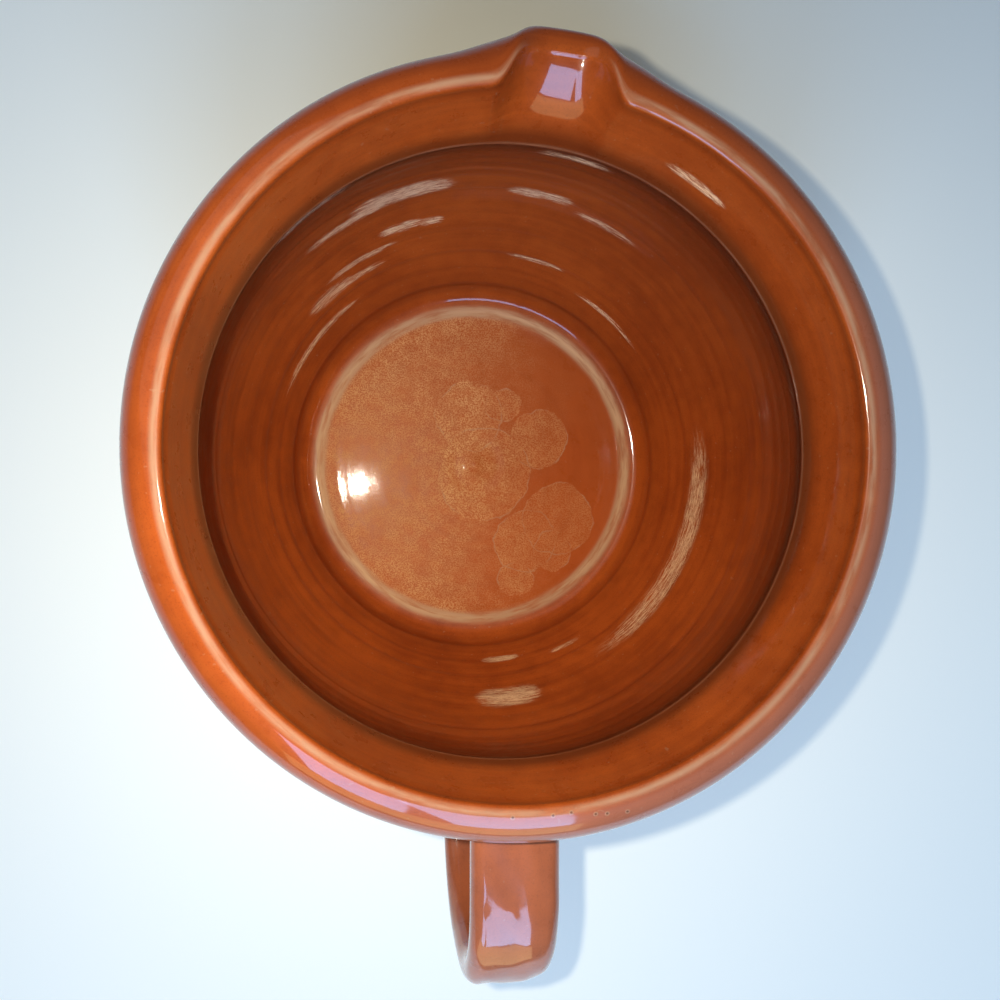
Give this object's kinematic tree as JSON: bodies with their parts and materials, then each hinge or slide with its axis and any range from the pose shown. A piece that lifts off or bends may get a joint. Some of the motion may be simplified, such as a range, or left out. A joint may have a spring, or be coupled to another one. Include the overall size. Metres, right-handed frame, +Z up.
{
  "type": "pitcher",
  "caption": "Wide-mouthed glazed earthenware pitcher with a swelling bowl, an upright collar, a rolled rim, a small pulled spout and a strap handle.",
  "frame": {"origin": "centre of the flat foot, on the vessel's axis, at table height", "axes": "+Z up along the vessel's axis, -Y along the handle, +Y towards the side of the spout, which is turned 5.3 degrees from +Y towards +X"},
  "size_m": [0.19, 0.2536, 0.144],
  "materials": {
    "glazed_body": "red-brown earthenware under a clear gloss glaze, satin on the inside wall",
    "glazed_handle": "red-brown earthenware under a clear gloss glaze",
    "glazed_join": "luting clay smoothed with a wet finger, under the same glaze"
  },
  "bodies": {
    "root": {"body": "glazed_body", "handle": "glazed_handle", "upper_join": "glazed_join", "lower_join": "glazed_join"}
  },
  "joints": []
}
